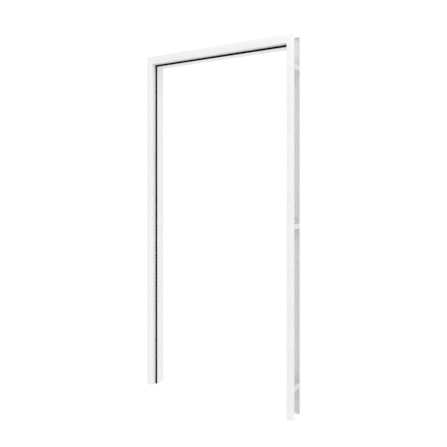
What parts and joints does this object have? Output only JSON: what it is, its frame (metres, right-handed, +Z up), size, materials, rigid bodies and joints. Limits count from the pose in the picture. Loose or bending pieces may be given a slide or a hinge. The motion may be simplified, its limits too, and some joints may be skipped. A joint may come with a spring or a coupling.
{
  "type": "steel door frame",
  "caption": "Wrap-around steel door frame: folded jambs and mitred head, rubber seal on the stop, bridging straps across the open wall side.",
  "frame": {"origin": "on the floor, at the centre of the frame's box", "axes": "+X across the doorway, +Y from the rebated front to the back, +Z up"},
  "size_m": [1.014, 0.104, 2.1],
  "materials": {
    "powder_coated_steel": "satin powder coat",
    "seal_rubber": "matt"
  },
  "bodies": {
    "root": {"jamb_left": "powder_coated_steel", "jamb_right": "powder_coated_steel", "head": "powder_coated_steel", "seal_left": "seal_rubber", "seal_right": "seal_rubber", "seal_head": "seal_rubber", "strap_left_bottom": "powder_coated_steel", "strap_left_middle": "powder_coated_steel", "strap_left_top": "powder_coated_steel", "strap_right_bottom": "powder_coated_steel", "strap_right_middle": "powder_coated_steel", "strap_right_top": "powder_coated_steel"}
  },
  "joints": []
}
